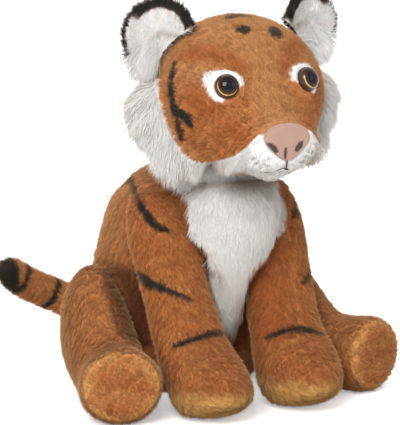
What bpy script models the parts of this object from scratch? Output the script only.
"""A sitting plush tiger, as the pieces it is sewn and stuffed from.

The tiger looks along -Y and sits on Z = 0, with the origin at the middle of its flat seat.
Its left side is +X. Lengths are in metres. Tables that end in "shares" are drawn by hand, each
column as a share of the size that its comment names.
"""

import math

import bmesh
import bpy
from mathutils import Matrix, Vector

# Clearances and fabric
SEAM = 0.00035
SKIN_WALL = 0.003
FLOOR = 0.0
OVERRUN = 0.004

# Torso
TORSO_HEIGHT = 0.148
TORSO_DEPTH = 0.110
TORSO_HALF_WIDTH = 0.058
PELLET_BAG_HEIGHT = 0.026

# Chest bib
BIB_HALF_WIDTH = 0.0308
BIB_DEPTH = 0.053

# Neck
NECK_RADIUS = 0.033

# Head
HEAD_LENGTH = 0.104
HEAD_HEIGHT = 0.092
HEAD_HALF_WIDTH = 0.055
MUZZLE_THICKNESS = 0.0030
NOSE_THICKNESS = 0.0042
CHIN_RADIUS = 0.0148
RUFF_RADIUS = 0.0145

# Safety eyes
EYE_RADIUS = 0.0075
EYE_HEIGHT = 0.0062
EYE_RIM = 0.0012
SHANK_RADIUS = 0.0024
SHANK_RIB = 0.0004
SHANK_LENGTH = 0.0135
SHANK_RIB_PITCH = 0.0018
WASHER_RADIUS = 0.0085
WASHER_THICKNESS = 0.0014
WASHER_SETBACK = 0.0030
WASHER_SLOTS = 6
WASHER_SLOT_SHARE, WASHER_REACH_SHARE = 0.22, 0.5
PATCH_RADIUS = 0.0135
PATCH_THICKNESS = 0.0014
PATCH_HEIGHT_SHARE = 0.8

# Ears
EAR_HALF_WIDTH = 0.0235
EAR_HEIGHT = 0.042
EAR_CUP = 0.007
EAR_BACK_THICKNESS = 0.0034
EAR_LINING_THICKNESS = 0.0026
EAR_LINING_MARGIN = 0.0022
EAR_TURN_OUT = 15
EAR_LEAN_OUT = 23

# Front legs
FRONT_LEG_HEIGHT = 0.136
FRONT_LEG_HALF_WIDTH = 0.022
FRONT_LEG_DEPTH = 0.042
FRONT_SOLE_HEIGHT = 0.013

# Hind legs
HIND_LEG_LENGTH = 0.1275
HIND_LEG_HALF_WIDTH = 0.029
HIND_LEG_HEIGHT = 0.084
HIND_LEG_SPLAY = 21.5
HIND_SOLE_PUFF = 0.0055

# Tail
TAIL_RADIUS = 0.0115
TAIL_LENGTH = 0.128

# The tiger's left and right, with the sign of X on each
HANDS = ((1, "left"), (-1, "right"))

# Turns of each joint, in degrees, that the cuts leave room for
FRONT_LEG_TURNS = (0.0, 3.0, 7.5, 12.0)
HIND_LEG_TURNS = (0.0, 4.0, 9.0, 14.0)
TAIL_TURNS = (-12.0, -6.0, 0.0, 8.0, 16.0)
EAR_TURNS = (-15.0, -8.0, 0.0, 8.0, 16.0)

# Facets: rows along a form and points round it
FORM_ROWS, FORM_POINTS = 15, 24
LINER_ROWS, LINER_POINTS = 10, 18
LIMB_ROWS, LIMB_POINTS = 13, 20
NECK_POINTS, EYE_STEPS, EYE_POINTS, EAR_POINTS = 28, 5, 20, 16

COLOURS = {
    "orange": (0.52, 0.22, 0.075),
    "gold": (0.60, 0.31, 0.09),
    "white": (0.86, 0.85, 0.83),
    "black": (0.025, 0.022, 0.02),
    "pink": (0.80, 0.50, 0.43),
    "eye": (0.03, 0.014, 0.008),
    "plain": (0.78, 0.77, 0.74),
    "washer": (0.70, 0.70, 0.68),
}
FINISHES = {"eye": 0.08, "washer": 0.4}

# height, front, back, half width, as shares of TORSO_HEIGHT, TORSO_DEPTH (twice) and TORSO_HALF_WIDTH
torso_row_shares = (
    (0.00, -0.31, 0.31, 0.76),
    (0.06, -0.39, 0.41, 0.95),
    (0.20, -0.39, 0.46, 1.00),
    (0.40, -0.42, 0.47, 0.99),
    (0.58, -0.52, 0.44, 0.94),
    (0.72, -0.61, 0.40, 0.89),
    (0.83, -0.63, 0.30, 0.83),
    (0.91, -0.62, 0.16, 0.74),
    (0.965, -0.57, -0.01, 0.58),
    (0.993, -0.48, -0.17, 0.31),
)
torso_crown_share = 1.0

# height, front, half width, as shares of TORSO_HEIGHT, BIB_DEPTH ahead of the bib's back, BIB_HALF_WIDTH
bib_row_shares = (
    (0.22, 0.34, 0.40),
    (0.32, 0.44, 0.46),
    (0.44, 0.58, 0.58),
    (0.56, 0.76, 0.78),
    (0.68, 0.91, 0.95),
    (0.79, 0.98, 1.00),
    (0.88, 0.96, 0.97),
    (0.95, 0.84, 0.80),
)
bib_foot_share, bib_crown_share = 0.17, 0.985
bib_back_share = -0.36

# along from the back, top, bottom, half width, as shares of HEAD_LENGTH, HEAD_HEIGHT (twice), HEAD_HALF_WIDTH
head_row_shares = (
    (0.045, 0.71, 0.24, 0.47),
    (0.165, 0.89, 0.11, 0.76),
    (0.335, 0.99, 0.02, 0.96),
    (0.475, 1.00, 0.00, 1.00),
    (0.615, 0.94, 0.00, 0.97),
    (0.730, 0.80, 0.00, 0.80),
    (0.800, 0.65, 0.00, 0.67),
    (0.865, 0.52, 0.00, 0.58),
    (0.925, 0.44, 0.01, 0.50),
    (0.975, 0.38, 0.05, 0.40),
    (1.005, 0.33, 0.10, 0.26),
)
head_back_height_share, head_nose_height_share, head_nose_share = 0.47, 0.22, 1.015
head_behind_neck_share = 0.168
neck_height_share = 1.014
neck_forward_share = 0.39

# height, front, back, half width, side shift, as shares of FRONT_LEG_HEIGHT, FRONT_LEG_DEPTH (twice),
# FRONT_LEG_HALF_WIDTH and the shoulder's reach to the side; front and back run from the shoulder
front_leg_row_shares = (
    (0.000, -1.20, -0.80, 0.54, 0.82),
    (0.024, -1.57, -0.67, 0.86, 0.82),
    (0.080, -1.90, -0.53, 1.10, 0.82),
    (0.165, -1.95, -0.38, 1.16, 0.83),
    (0.240, -1.72, -0.26, 1.12, 0.86),
    (0.300, -1.40, -0.19, 1.07, 0.88),
    (0.370, -1.13, -0.12, 1.04, 0.90),
    (0.470, -0.95, -0.02, 1.02, 0.92),
    (0.590, -0.78, 0.16, 1.02, 0.95),
    (0.730, -0.62, 0.38, 1.04, 0.97),
    (0.860, -0.42, 0.53, 0.98, 0.97),
    (0.950, -0.20, 0.46, 0.78, 0.95),
)
shoulder_side_share, shoulder_back_share, shoulder_height_share = 0.66, -0.41, 0.757

# along from the rump, top, bottom, half width, outward shift, as shares of HIND_LEG_LENGTH, HIND_LEG_HEIGHT
# (twice) and HIND_LEG_HALF_WIDTH (twice)
hind_leg_row_shares = (
    (0.030, 0.62, 0.20, 0.38, 0.10),
    (0.130, 0.85, 0.05, 0.62, 0.22),
    (0.300, 0.98, -0.01, 0.70, 0.26),
    (0.460, 0.93, -0.02, 0.72, 0.21),
    (0.610, 0.70, -0.02, 0.75, 0.11),
    (0.730, 0.56, -0.02, 0.78, 0.03),
    (0.850, 0.55, -0.02, 0.82, 0.00),
    (0.940, 0.57, -0.02, 0.89, 0.00),
    (1.000, 0.56, 0.01, 0.88, 0.00),
)
hind_rump_height_share = 0.44
hip_side_share, hip_back_share = 0.725, 0.27
hind_turn_side_share, hind_turn_back_share = 0.69, 0.0

# sideways, back and up from the tail's root, as shares of TAIL_LENGTH, and the radius as a share
# of TAIL_RADIUS
tail_path_shares = (
    (0.00, -0.10, 0.00, 1.02),
    (0.00, 0.10, -0.02, 1.02),
    (-0.10, 0.26, 0.01, 1.00),
    (-0.26, 0.36, 0.08, 0.97),
    (-0.44, 0.39, 0.17, 0.95),
    (-0.54, 0.38, 0.24, 0.86),
    (-0.585, 0.375, 0.27, 0.56),
)
tail_tip_shares = (-0.60, 0.373, 0.28)
tail_root_back_share, tail_height_share = 0.45, 0.19

# along the head, height, side, as shares of the head's sizes, and the radius as a share of RUFF_RADIUS
ruff_path_shares = (
    (0.46, 0.56, 0.91, 0.40),
    (0.43, 0.50, 0.97, 0.72),
    (0.41, 0.40, 1.03, 0.94),
    (0.43, 0.27, 0.96, 0.94),
    (0.50, 0.14, 0.74, 0.78),
    (0.57, 0.07, 0.52, 0.50),
)
ruff_tip_shares = (0.59, 0.05, 0.45)

# height and half width, as shares of EAR_HEIGHT and EAR_HALF_WIDTH
ear_row_shares = (
    (-0.17, 0.58),
    (-0.04, 0.80),
    (0.14, 0.95),
    (0.30, 1.00),
    (0.46, 0.97),
    (0.60, 0.84),
    (0.71, 0.62),
    (0.775, 0.38),
)
ear_foot_share, ear_top_share = -0.22, 0.81

# reach from the middle and rise, as shares of the outline and of the height
sole_row_shares = ((0.97, 0.0), (1.0, 0.25), (0.93, 0.6), (0.68, 0.92))
pellet_bag_shares = ((0.0, 0.55), (0.22, 0.70), (0.5, 0.72), (0.8, 0.60), (0.97, 0.32))

# where things sit on the head: share along it, and the turn round it from its side, in degrees
EYE_ALONG_SHARE, EYE_TURN = 0.785, 44.5
EAR_ALONG_SHARE, EAR_TURN_UP = 0.44, 30.0
CHIN_ALONG_SHARE, CHIN_HEIGHT_SHARE = 0.83, 0.09

# side and height, as shares of HEAD_HALF_WIDTH and HEAD_HEIGHT, of one half of an outline seen from the
# front, from its top down
muzzle_outline_shares = (
    (0.05, 0.26),
    (0.20, 0.27),
    (0.325, 0.310),
    (0.46, 0.262),
    (0.57, 0.19),
    (0.63, 0.09),
    (0.56, -0.10),
    (0.05, -0.14),
)
nose_outline_shares = (
    (0.055, 0.356),
    (0.155, 0.344),
    (0.238, 0.313),
    (0.285, 0.268),
    (0.247, 0.220),
    (0.14, 0.158),
    (0.04, 0.120),
)
muzzle_back_share, front_share = 0.715, 1.3


def material(colour):
    """The shared Principled material of this colour."""
    made = bpy.data.materials.get(colour) or bpy.data.materials.new(colour)
    made.use_nodes = True
    shader = made.node_tree.nodes["Principled BSDF"]
    shader.inputs["Base Color"].default_value = (*COLOURS[colour], 1)
    shader.inputs["Roughness"].default_value = FINISHES.get(colour, 0.95)
    return made


def piece(name, mesh, colour):
    """An object of this mesh, smooth and in its colour."""
    obj = bpy.data.objects.new(name, mesh)
    bpy.context.scene.collection.objects.link(obj)
    if not mesh.materials:
        mesh.materials.append(material(colour))
    mesh.shade_smooth()
    mesh.set_sharp_from_angle(angle=math.radians(40))
    return obj


def cutter(name, mesh, matrix=None):
    """A hidden helper that Boolean modifiers use."""
    obj = bpy.data.objects.new(f"cut_{name}", mesh)
    bpy.context.scene.collection.objects.link(obj)
    obj.hide_render = True
    obj.display_type = "WIRE"
    if matrix is not None:
        obj.matrix_world = matrix
    return obj


def jointed(name, centre, names, above=None):
    """An empty on a joint's axis that carries the named pieces, itself carried by another such empty."""
    empty = bpy.data.objects.new(f"{name}_joint", None)
    bpy.context.scene.collection.objects.link(empty)
    carried = [bpy.data.objects[piece_name] for piece_name in names]
    for obj in carried:
        obj.parent = empty
        obj.matrix_parent_inverse = Matrix.Translation(-centre)
    empty.matrix_basis = Matrix.Translation(centre)
    if above:
        empty.parent = above
        empty.matrix_parent_inverse = above.matrix_basis.inverted()
    return empty


def boolean(obj, other, operation="DIFFERENCE", solver="EXACT"):
    """Leaves a Boolean modifier on the object."""
    made = obj.modifiers.new(f"{operation.lower()} {other.name}", "BOOLEAN")
    made.operation = operation
    made.object = other
    made.solver = solver


def eased(rows, count):
    """The table's rows read at this many even steps along a smooth curve through them."""
    read = []
    spans = len(rows) - 1
    for step in range(count):
        place = spans * step / (count - 1)
        index = min(int(place), spans - 1)
        part = place - index
        before, start = rows[max(index - 1, 0)], rows[index]
        end, after = rows[index + 1], rows[min(index + 2, spans)]
        row = []
        for a, b, c, d in zip(before, start, end, after):
            slope_in, slope_out = (c - a) / 2, (d - b) / 2
            square, cube = part**2, part**3
            row.append(
                b * (2 * cube - 3 * square + 1)
                + slope_in * (cube - 2 * square + part)
                + c * (3 * square - 2 * cube)
                + slope_out * (cube - square)
            )
        read.append(row)
    return read


def closed_form(name, rings, first, last):
    """A closed mesh over rings of points, with a pole before the first ring and one after the last."""
    build = bmesh.new()
    rows = [[build.verts.new(point) for point in ring] for ring in rings]
    count = len(rows[0])
    poles = [build.verts.new(first), build.verts.new(last)]
    for low, high in zip(rows, rows[1:]):
        for index in range(count):
            after = (index + 1) % count
            build.faces.new((low[index], low[after], high[after], high[index]))
    for index in range(count):
        after = (index + 1) % count
        build.faces.new((poles[0], rows[0][after], rows[0][index]))
        build.faces.new((poles[1], rows[-1][index], rows[-1][after]))
    bmesh.ops.recalc_face_normals(build, faces=build.faces)
    mesh = bpy.data.meshes.new(name)
    build.to_mesh(mesh)
    build.free()
    return mesh


def grown(mesh, distance, name):
    """A copy of the mesh with its surface moved out by this distance, or in if it is negative."""
    build = bmesh.new()
    build.from_mesh(mesh)
    build.normal_update()
    moves = [(vert, vert.normal * distance) for vert in build.verts]
    for vert, move in moves:
        vert.co += move
    made = bpy.data.meshes.new(name)
    build.to_mesh(made)
    build.free()
    return made


def ring(centre, side, up, points):
    """Points round an ellipse with these two half axes."""
    turns = (2 * math.pi * index / points for index in range(points))
    return [centre + side * math.cos(turn) + up * math.sin(turn) for turn in turns]


def turned_about(centre, axis, degrees):
    """The matrix of a turn about this axis through this centre."""
    turn = Matrix.Rotation(math.radians(degrees), 4, axis)
    return Matrix.Translation(centre) @ turn @ Matrix.Translation(-centre)


def placed_on(origin, outward, upward):
    """A matrix that stands local +Z along outward at the origin, with local +Y near upward."""
    z = outward.normalized()
    x = upward.cross(z).normalized()
    y = z.cross(x)
    return Matrix.Translation(origin) @ Matrix((x, y, z)).transposed().to_4x4()


def revolved(name, profile, points, matrix):
    """A closed mesh turned about local Z from (radius, height) pairs that start and end on the axis."""
    rings = [
        ring(Vector((0, 0, height)), Vector((radius, 0, 0)), Vector((0, radius, 0)), points)
        for radius, height in profile[1:-1]
    ]
    mesh = closed_form(name, rings, Vector((0, 0, profile[0][1])), Vector((0, 0, profile[-1][1])))
    mesh.transform(matrix)
    return mesh


def arc(radius, height, steps):
    """(radius, height) pairs over a dome, from its rim to just short of its crown."""
    turns = (math.pi / 2 * step / steps for step in range(steps))
    return [(radius * math.cos(turn), height * math.sin(turn)) for turn in turns]


def swept_cuts(obj, name, mesh, centre, axis, turns):
    """Cuts the object by the mesh wherever the object's own turns bring it."""
    for number, turn in enumerate(turns, 1):
        made = cutter(f"{name}_{number}", mesh, turned_about(centre, axis, -turn))
        boolean(obj, made, solver="MANIFOLD")


def torso_form(rows, points):
    """The torso's outer surface as rings from the flat seat up."""
    rings = []
    for height, front, back, width in eased(torso_row_shares, rows):
        centre = Vector((0, TORSO_DEPTH * (front + back) / 2, TORSO_HEIGHT * height))
        side = Vector((TORSO_HALF_WIDTH * width, 0, 0))
        rings.append(ring(centre, side, Vector((0, TORSO_DEPTH * (back - front) / 2, 0)), points))
    crown = Vector((0, neck_centre().y, TORSO_HEIGHT * torso_crown_share))
    seat = Vector((0, 0, FLOOR))
    return closed_form("torso_form", rings, seat, crown)


def neck_centre():
    """The centre of the ball that the head turns and nods on."""
    return Vector((0, -TORSO_DEPTH * neck_forward_share, TORSO_HEIGHT * neck_height_share))


def head_point(along, height, side):
    """A point given as shares of the head's length from its back, its height and its half width."""
    neck = neck_centre()
    back = neck.y + HEAD_LENGTH * head_behind_neck_share
    return Vector((HEAD_HALF_WIDTH * side, back - HEAD_LENGTH * along, neck.z + HEAD_HEIGHT * height))


def head_ring(row, points):
    """The ring of the head at one row of its table."""
    along, top, bottom, width = row
    centre = head_point(along, (top + bottom) / 2, 0)
    side = Vector((HEAD_HALF_WIDTH * width, 0, 0))
    return ring(centre, side, Vector((0, 0, HEAD_HEIGHT * (top - bottom) / 2)), points)


def head_form(rows, points):
    """The head's outer surface, from its back to its nose."""
    rings = [head_ring(row, points) for row in eased(head_row_shares, rows)]
    back = head_point(0, head_back_height_share, 0)
    nose = head_point(head_nose_share, head_nose_height_share, 0)
    return closed_form("head_form", rings, back, nose)


def head_spot(along_share, turn, hand):
    """A point on the head's surface, at a share along it and a turn round it, with its outward direction."""
    rows = eased(head_row_shares, 200)
    nearest = min(range(1, len(rows) - 1), key=lambda index: abs(rows[index][0] - along_share))

    def at(row, degrees):
        along, top, bottom, width = row
        angle = math.radians(degrees)
        height = (top + bottom) / 2 + (top - bottom) / 2 * math.sin(angle)
        return head_point(along, height, hand * width * math.cos(angle))

    spot = at(rows[nearest], turn)
    along = at(rows[nearest + 1], turn) - at(rows[nearest - 1], turn)
    around = at(rows[nearest], turn + 1) - at(rows[nearest], turn - 1)
    outward = along.cross(around).normalized()
    if outward.dot(spot - head_point(0.5, 0.4, 0)) < 0:
        outward.negate()
    return spot, outward


def joined_box(name, low, high):
    """A closed box between two corners."""
    build = bmesh.new()
    middle = (low + high) / 2
    size = Matrix.Diagonal((*(high - low), 1))
    bmesh.ops.create_cube(build, size=1, matrix=Matrix.Translation(middle) @ size)
    mesh = bpy.data.meshes.new(name)
    build.to_mesh(mesh)
    build.free()
    return mesh


def swept_form(name, path, points, tip, square_to):
    """A closed form along a path of (point, radius) pairs that ends at the tip."""
    rings = []
    for index, (centre, radius) in enumerate(path):
        before, after = path[max(index - 1, 0)][0], path[min(index + 1, len(path) - 1)][0]
        ahead = (after - before).normalized()
        side = ahead.cross(square_to).normalized()
        rings.append(ring(centre, side * radius, side.cross(ahead) * radius, points))
    return closed_form(name, rings, path[0][0], tip)


def ball(radius, points):
    """The profile of a ball, from its lowest point to its highest."""
    steps = points // 2
    turns = (-math.pi / 2 + math.pi * step / steps for step in range(steps + 1))
    return [(radius * math.cos(turn), radius * math.sin(turn)) for turn in turns]


def make_torso(forms):
    """The torso's skin, the stuffing in it and the bag of pellets that weighs the seat down."""
    skin = piece("torso_skin", forms["torso"], "orange")
    boolean(skin, forms["torso_liner"])
    boolean(skin, forms["neck_room"])
    stuffing = piece("torso_stuffing", forms["torso_filling"], "plain")
    boolean(stuffing, forms["neck_room"])
    boolean(stuffing, cutter("pellet_room", pellet_bag_form("pellet_room", SEAM + OVERRUN / 4)))
    piece("pellet_bag", pellet_bag_form("pellet_bag", 0), "plain")


def pellet_bag_form(name, room):
    """The low round bag on the seat, or the room for it."""
    seat = SKIN_WALL + 2 * SEAM - room
    height = PELLET_BAG_HEIGHT + 2 * room
    rings = []
    for rise, reach in pellet_bag_shares:
        centre = Vector((0, 0, seat + height * rise))
        side = Vector((TORSO_HALF_WIDTH * reach + room, 0, 0))
        rings.append(ring(centre, side, Vector((0, TORSO_DEPTH * reach / 2 + room, 0)), LINER_POINTS))
    return closed_form(name, rings, Vector((0, 0, seat)), Vector((0, 0, seat + height)))


def make_neck():
    """The stuffed ball that joins the head to the torso."""
    centre = Matrix.Translation(neck_centre())
    mesh = revolved("neck", ball(NECK_RADIUS, NECK_POINTS), NECK_POINTS, centre)
    piece("neck", mesh, "orange")


def make_head(forms):
    """The head's skin and stuffing, with everything that is sewn or locked to them."""
    skin = piece("head_skin", forms["head"], "orange")
    boolean(skin, forms["head_liner"])
    boolean(skin, forms["neck_room"])
    stuffing = piece("head_stuffing", forms["head_filling"], "plain")
    boolean(stuffing, forms["neck_room"])
    for hand, side in HANDS:
        make_eye(side, hand, skin, stuffing, forms)
        make_ear(side, hand, forms)
        make_ruff(side, hand, forms)
    make_muzzle(forms)
    neck = jointed("neck", neck_centre(), ["neck"])
    on_head = ["head_skin", "head_stuffing", "muzzle", "nose", "chin"]
    for _, side in HANDS:
        on_head += [f"{name}_{side}" for name in ("eye", "eye_washer", "eye_patch", "cheek_ruff")]
    head = jointed("head", neck_centre(), on_head, neck)
    for hand, side in HANDS:
        spot, _ = head_spot(EAR_ALONG_SHARE, EAR_TURN_UP, hand)
        jointed(f"ear_{side}", spot, [f"ear_back_{side}", f"ear_lining_{side}"], head)


def make_eye(side, hand, skin, stuffing, forms):
    """A safety eye: its dome and ribbed shank, the lock washer on it, and the white patch round it."""
    spot, outward = head_spot(EYE_ALONG_SHARE, EYE_TURN, hand)
    seat = placed_on(spot + outward * 2 * SEAM, outward, Vector((0, 0, 1)))

    ribs = []
    pitches = int((SHANK_LENGTH - WASHER_THICKNESS) / SHANK_RIB_PITCH)
    for pitch in range(pitches):
        low = -SHANK_LENGTH + SHANK_RIB_PITCH * (pitch + 1)
        ribs += [(SHANK_RADIUS - SHANK_RIB, low), (SHANK_RADIUS, low + SHANK_RIB_PITCH / 2)]
    point = [(0, -SHANK_LENGTH), (SHANK_RADIUS - 2 * SHANK_RIB, -SHANK_LENGTH)]
    rim = [(SHANK_RADIUS - SHANK_RIB, 0), (EYE_RADIUS, 0)]
    dome = [(radius, EYE_RIM + height) for radius, height in arc(EYE_RADIUS, EYE_HEIGHT, EYE_STEPS)]
    profile = point + ribs + rim + dome + [(0, EYE_RIM + EYE_HEIGHT)]
    piece(f"eye_{side}", revolved(f"eye_{side}", profile, EYE_POINTS, seat), "eye")

    hole = SHANK_RADIUS + SEAM
    depth = SHANK_LENGTH + SEAM
    washer_room = WASHER_RADIUS + SEAM
    through = [(0, -depth), (hole, -depth), (hole, EYE_RIM), (0, EYE_RIM)]
    pocket = [(0, -depth), (washer_room, -depth), (washer_room, EYE_RIM), (0, EYE_RIM)]
    boolean(skin, cutter(f"shank_{side}", revolved(f"shank_{side}", through, EYE_POINTS, seat)))
    boolean(stuffing, cutter(f"pocket_{side}", revolved(f"pocket_{side}", pocket, EYE_POINTS, seat)))
    make_washer(side, seat)

    oval = Matrix.Diagonal((1, PATCH_HEIGHT_SHARE, 1, 1))
    span = 3 * PATCH_RADIUS
    blank = [(0, -span), (PATCH_RADIUS, -span), (PATCH_RADIUS, span), (0, span)]
    patch = piece(f"eye_patch_{side}", revolved(f"eye_patch_{side}", blank, EYE_POINTS, seat @ oval), "white")
    boolean(patch, forms["patch_outside"], "INTERSECT")
    boolean(patch, forms["head_room"])
    clear = EYE_RADIUS + SEAM
    around = [(0, -span), (clear, -span), (clear, span), (0, span)]
    boolean(patch, cutter(f"eye_room_{side}", revolved(f"eye_room_{side}", around, EYE_POINTS, seat)))


def make_washer(side, seat):
    """The lock washer behind the head's skin, with slots that let its teeth spring over the ribs."""
    front = -SKIN_WALL - WASHER_SETBACK
    bore = SHANK_RADIUS + SEAM
    section = [
        (bore, front - WASHER_THICKNESS),
        (WASHER_RADIUS, front - WASHER_THICKNESS),
        (WASHER_RADIUS, front),
        (bore, front),
    ]
    build = bmesh.new()
    loops = [
        [build.verts.new(point) for point in ring(
            Vector((0, 0, height)), Vector((radius, 0, 0)), Vector((0, radius, 0)), EYE_POINTS
        )]
        for radius, height in section
    ]
    for number, loop in enumerate(loops):
        other = loops[(number + 1) % len(loops)]
        for index in range(EYE_POINTS):
            after = (index + 1) % EYE_POINTS
            build.faces.new((loop[index], loop[after], other[after], other[index]))
    bmesh.ops.recalc_face_normals(build, faces=build.faces)
    mesh = bpy.data.meshes.new(f"eye_washer_{side}")
    build.to_mesh(mesh)
    build.free()
    mesh.transform(seat)
    washer = piece(f"eye_washer_{side}", mesh, "washer")
    slot_half = SHANK_RADIUS * WASHER_SLOT_SHARE
    reach = bore + (WASHER_RADIUS - bore) * WASHER_REACH_SHARE
    low = Vector((0, -slot_half, front - 2 * WASHER_THICKNESS))
    slot = joined_box(f"slot_{side}", low, Vector((reach, slot_half, front + WASHER_THICKNESS)))
    for number in range(WASHER_SLOTS):
        turn = Matrix.Rotation(2 * math.pi * number / WASHER_SLOTS, 4, "Z")
        boolean(washer, cutter(f"slot_{side}_{number}", slot, seat @ turn))


def make_ear(side, hand, forms):
    """An ear of two panels: the black back and the white lining, cut to the head over the ear's fold."""
    spot, _ = head_spot(EAR_ALONG_SHARE, EAR_TURN_UP, hand)
    lean, turn_out = math.radians(EAR_LEAN_OUT), math.radians(EAR_TURN_OUT)
    up = Vector((hand * math.sin(lean), 0, math.cos(lean)))
    facing = Vector((hand * math.sin(turn_out), -math.cos(turn_out), 0))
    facing = (facing - up * facing.dot(up)).normalized()
    stand = placed_on(spot, facing, up)

    def panel(name, thickness, margin, ahead):
        rings = []
        for height, width in ear_row_shares:
            centre = Vector((0, EAR_HEIGHT * height, ahead))
            rings.append(ring(
                centre,
                Vector((EAR_HALF_WIDTH * width - margin, 0, 0)),
                Vector((0, 0, thickness / 2)),
                EAR_POINTS,
            ))
        foot = Vector((0, EAR_HEIGHT * ear_foot_share, ahead))
        mesh = closed_form(name, rings, foot, Vector((0, EAR_HEIGHT * ear_top_share - margin, ahead)))
        for vert in mesh.vertices:
            middle = 1 - (vert.co.x / EAR_HALF_WIDTH) ** 2
            vert.co.z -= EAR_CUP * middle
        mesh.transform(stand)
        return mesh

    back_mesh = panel(f"ear_back_{side}", EAR_BACK_THICKNESS, 0, 0)
    lining_ahead = (EAR_BACK_THICKNESS + EAR_LINING_THICKNESS) / 2
    lining_mesh = panel(f"ear_lining_{side}", EAR_LINING_THICKNESS, EAR_LINING_MARGIN, lining_ahead)
    back = piece(f"ear_back_{side}", back_mesh, "black")
    lining = piece(f"ear_lining_{side}", lining_mesh, "white")
    boolean(lining, cutter(f"ear_room_{side}", grown(back_mesh, SEAM, f"ear_room_{side}")))
    axis = stand.to_3x3() @ Vector((hand, 0, 0))
    for ear in (back, lining):
        swept_cuts(ear, f"head_{ear.name}", forms["head_grown"], spot, axis, EAR_TURNS)


def make_ruff(side, hand, forms):
    """The thick white cheek ruff that runs from under the ear to the jaw."""
    path = []
    for along, height, reach, radius in eased(ruff_path_shares, LIMB_ROWS):
        path.append((head_point(along, height, hand * reach), RUFF_RADIUS * radius))
    along, height, reach = ruff_tip_shares
    tip = head_point(along, height, hand * reach)
    mesh = swept_form(f"cheek_ruff_{side}", path, LINER_POINTS, tip, Vector((0, 1, 0)))
    ruff = piece(f"cheek_ruff_{side}", mesh, "white")
    boolean(ruff, forms["head_room"])


def front_prism(name, outline, margin=0):
    """A closed prism that runs back from ahead of the face, over a mirrored outline seen from the front."""
    right = [head_point(0, height, side) for side, height in outline]
    middle = Vector((0, right[0].y, (right[0].z + right[-1].z) / 2))
    loop = right + [Vector((-point.x, point.y, point.z)) for point in reversed(right)]
    loop = [point + (point - middle).normalized() * margin for point in loop]
    near, far = head_point(front_share, 0, 0).y, head_point(muzzle_back_share, 0, 0).y
    build = bmesh.new()
    front = [build.verts.new((point.x, near, point.z)) for point in loop]
    back = [build.verts.new((point.x, far, point.z)) for point in loop]
    build.faces.new(front)
    build.faces.new(reversed(back))
    for index in range(len(loop)):
        after = (index + 1) % len(loop)
        build.faces.new((front[index], back[index], back[after], front[after]))
    bmesh.ops.recalc_face_normals(build, faces=build.faces)
    mesh = bpy.data.meshes.new(name)
    build.to_mesh(mesh)
    build.free()
    return mesh


def make_muzzle(forms):
    """The white muzzle panel, the nose pad let into it and the chin under it."""
    muzzle = piece("muzzle", front_prism("muzzle", muzzle_outline_shares), "white")
    outside = grown(forms["head"], SEAM + MUZZLE_THICKNESS, "muzzle_outside")
    boolean(muzzle, cutter("muzzle_outside", outside), "INTERSECT")
    boolean(muzzle, forms["head_room"])
    boolean(muzzle, cutter("nose_room", front_prism("nose_room", nose_outline_shares, SEAM)))

    nose = piece("nose", front_prism("nose", nose_outline_shares), "pink")
    outside = grown(forms["head"], SEAM + NOSE_THICKNESS, "nose_outside")
    boolean(nose, cutter("nose_outside", outside), "INTERSECT")
    boolean(nose, forms["head_room"])

    centre = Matrix.Translation(head_point(CHIN_ALONG_SHARE, CHIN_HEIGHT_SHARE, 0))
    chin = piece("chin", revolved("chin", ball(CHIN_RADIUS, LIMB_POINTS), LIMB_POINTS, centre), "white")
    boolean(chin, forms["head_room"])
    boolean(chin, cutter("chin_room", grown(forms["head"], 2 * SEAM + MUZZLE_THICKNESS, "chin_room")))


def shoulder(hand):
    """The point that a front leg swings about."""
    return Vector((
        hand * TORSO_HALF_WIDTH * shoulder_side_share,
        TORSO_DEPTH * shoulder_back_share,
        TORSO_HEIGHT * shoulder_height_share,
    ))


def front_leg_form(hand, name):
    """A front leg and paw as rings from the floor up to the shoulder."""
    pivot = shoulder(hand)
    rings = []
    for height, front, back, width, reach in eased(front_leg_row_shares, FORM_ROWS + 1):
        middle = pivot.y + FRONT_LEG_DEPTH * (front + back) / 2
        centre = Vector((pivot.x * reach, middle, FRONT_LEG_HEIGHT * height))
        across = Vector((FRONT_LEG_HALF_WIDTH * width, 0, 0))
        rings.append(ring(centre, across, Vector((0, FRONT_LEG_DEPTH * (back - front) / 2, 0)), LIMB_POINTS))
    first = sum(rings[0], Vector()) / LIMB_POINTS
    crown = Vector((pivot.x, pivot.y, FRONT_LEG_HEIGHT))
    return closed_form(name, rings, first, crown)


def make_front_leg(side, hand, forms):
    """A front leg with the golden sole panel under its paw."""
    form = forms[f"front_leg_{side}"]
    leg = piece(f"front_leg_{side}", form, "orange")
    sole = piece(f"front_sole_{side}", form.copy(), "gold")
    sole.data.materials.clear()
    sole.data.materials.append(material("gold"))
    corner = Vector((1, 1, 1)) * FRONT_LEG_HEIGHT * 2
    level = Vector((0, 0, FRONT_SOLE_HEIGHT))
    under = joined_box(f"under_{side}", -corner, Vector((corner.x, corner.y, level.z)))
    above = joined_box(f"above_{side}", Vector((-corner.x, -corner.y, level.z - SEAM)), corner)
    boolean(leg, cutter(f"under_{side}", under))
    boolean(sole, cutter(f"above_{side}", above))
    axis = Vector((-1, 0, 0))
    swept_cuts(leg, f"torso_{leg.name}", forms["torso_grown"], shoulder(hand), axis, FRONT_LEG_TURNS)
    jointed(leg.name, shoulder(hand), [leg.name, sole.name])


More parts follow.
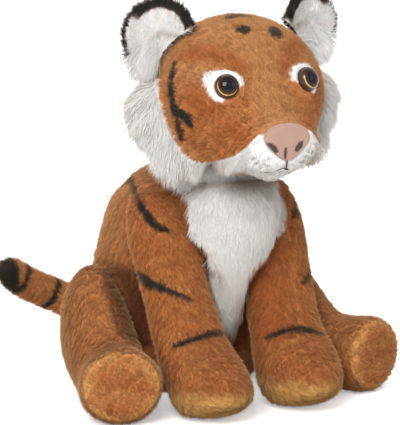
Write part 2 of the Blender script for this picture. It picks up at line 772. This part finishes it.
def make_bib(forms):
    """The white chest panel, full under the chin and narrow between the front legs."""
    back = TORSO_DEPTH * bib_back_share
    rings = []
    for height, front, width in eased(bib_row_shares, LIMB_ROWS):
        centre = Vector((0, back - BIB_DEPTH * front / 2, TORSO_HEIGHT * height))
        side = Vector((BIB_HALF_WIDTH * width, 0, 0))
        rings.append(ring(centre, side, Vector((0, BIB_DEPTH * front / 2, 0)), LIMB_POINTS))
    foot = rings[0][0].lerp(rings[0][LIMB_POINTS // 2], 0.5)
    foot.z = TORSO_HEIGHT * bib_foot_share
    crown = rings[-1][0].lerp(rings[-1][LIMB_POINTS // 2], 0.5)
    crown.z = TORSO_HEIGHT * bib_crown_share
    bib = piece("chest_bib", closed_form("chest_bib", rings, foot, crown), "white")
    boolean(bib, cutter("bib_back", forms["torso_grown"]))
    boolean(bib, forms["neck_room"])
    axis = Vector((1, 0, 0))
    for hand, side in HANDS:
        room = grown(forms[f"front_leg_{side}"], 2 * SEAM, f"leg_room_{side}")
        swept_cuts(bib, f"leg_{side}", room, shoulder(hand), axis, FRONT_LEG_TURNS)


def hind_frame(hand):
    """Where a hind leg starts at the rump, and the way it points along the floor."""
    splay = math.radians(HIND_LEG_SPLAY)
    start = Vector((hand * TORSO_HALF_WIDTH * hip_side_share, TORSO_DEPTH * hip_back_share, 0))
    return start, Vector((hand * math.sin(splay), -math.cos(splay), 0))


def hind_ring(hand, along, top, bottom, width, shift, puff=0):
    """An upright ring of a hind leg, kept above the floor."""
    start, ahead = hind_frame(hand)
    inward = ahead.cross(Vector((0, 0, hand))) * HIND_LEG_HALF_WIDTH
    centre = start + ahead * (HIND_LEG_LENGTH * along + puff) - inward * shift
    centre.z = HIND_LEG_HEIGHT * (top + bottom) / 2
    across = inward * hand * width
    made = ring(centre, across, Vector((0, 0, HIND_LEG_HEIGHT * (top - bottom) / 2)), LIMB_POINTS)
    for point in made:
        point.z = max(point.z, FLOOR)
    return centre, made


def make_hind_leg(side, hand, forms):
    """A hind leg with its haunch, lower leg and foot, and the golden sole on the foot's end."""
    rows = eased(hind_leg_row_shares, FORM_ROWS)
    rings = [hind_ring(hand, *row)[1] for row in rows]
    start, _ = hind_frame(hand)
    start.z = HIND_LEG_HEIGHT * hind_rump_height_share
    end, _ = hind_ring(hand, *rows[-1])
    leg = piece(f"hind_leg_{side}", closed_form(f"hind_leg_{side}", rings, start, end), "orange")
    pivot = Vector((
        hand * TORSO_HALF_WIDTH * hind_turn_side_share, TORSO_DEPTH * hind_turn_back_share, end.z
    ))
    axis = Vector((0, 0, hand))
    swept_cuts(leg, f"torso_{leg.name}", forms["torso_grown"], pivot, axis, HIND_LEG_TURNS)

    along, top, bottom, width, shift = hind_leg_row_shares[-1]
    middle, half = (top + bottom) / 2, (top - bottom) / 2
    pad = []
    for reach, rise in sole_row_shares:
        puff = SEAM + HIND_SOLE_PUFF * rise
        row = (along, middle + half * reach, middle - half * reach, width * reach, shift)
        pad.append(hind_ring(hand, *row, puff)[1])
    back, _ = hind_ring(hand, along, middle, middle, 0, shift, SEAM)
    tip, _ = hind_ring(hand, along, middle, middle, 0, shift, SEAM + HIND_SOLE_PUFF)
    sole = piece(f"hind_sole_{side}", closed_form(f"hind_sole_{side}", pad, back, tip), "gold")
    jointed(leg.name, pivot, [leg.name, sole.name])


def make_tail(forms):
    """The tail, from its seam on the rump to its tip beside the tiger's right haunch."""
    root = Vector((0, TORSO_DEPTH * tail_root_back_share, TORSO_HEIGHT * tail_height_share))
    path = []
    for side, back, up, radius in eased(tail_path_shares, FORM_ROWS):
        path.append((root + Vector((side, back, up)) * TAIL_LENGTH, TAIL_RADIUS * radius))
    tip = root + Vector(tail_tip_shares) * TAIL_LENGTH
    tail = piece("tail", swept_form("tail", path, LINER_POINTS - 2, tip, Vector((0, 0, 1))), "orange")
    swept_cuts(tail, "torso_tail", forms["torso_grown"], root, Vector((0, 0, 1)), TAIL_TURNS)
    jointed("tail", root, [tail.name])


def main_forms():
    """The large forms and their cutters, which the smaller pieces are cut by."""
    torso, head = torso_form(FORM_ROWS, FORM_POINTS), head_form(FORM_ROWS, FORM_POINTS)
    liner, head_liner = torso_form(LINER_ROWS, LINER_POINTS), head_form(LINER_ROWS, LINER_POINTS)
    centre = Matrix.Translation(neck_centre())
    # the room's facets stay outside the ball's corners however the ball turns
    clear = (NECK_RADIUS + SEAM) / math.cos(math.pi / NECK_POINTS) ** 2
    neck_room = revolved("neck_room", ball(clear, NECK_POINTS), NECK_POINTS, centre)
    forms = {
        "torso": torso,
        "head": head,
        "torso_liner": cutter("torso_liner", grown(liner, -SKIN_WALL, "torso_liner")),
        "torso_filling": grown(liner, -SKIN_WALL - SEAM, "torso_filling"),
        "head_liner": cutter("head_liner", grown(head_liner, -SKIN_WALL, "head_liner")),
        "head_filling": grown(head_liner, -SKIN_WALL - SEAM, "head_filling"),
        "torso_grown": grown(torso, SEAM, "torso_grown"),
        "head_grown": grown(head, SEAM, "head_grown"),
        "patch_outside": cutter("patch_outside", grown(head, SEAM + PATCH_THICKNESS, "patch_outside")),
        "neck_room": cutter("neck_room", neck_room),
    }
    forms["head_room"] = cutter("head_room", forms["head_grown"])
    for hand, side in HANDS:
        forms[f"front_leg_{side}"] = front_leg_form(hand, f"front_leg_{side}")
    return forms


def clear_scene():
    """Removes what the scene starts with."""
    for obj in list(bpy.data.objects):
        bpy.data.objects.remove(obj, do_unlink=True)


def main():
    """Makes every piece of the tiger."""
    clear_scene()
    forms = main_forms()
    make_torso(forms)
    make_bib(forms)
    make_neck()
    make_head(forms)
    for hand, side in HANDS:
        make_front_leg(side, hand, forms)
        make_hind_leg(side, hand, forms)
    make_tail(forms)


main()
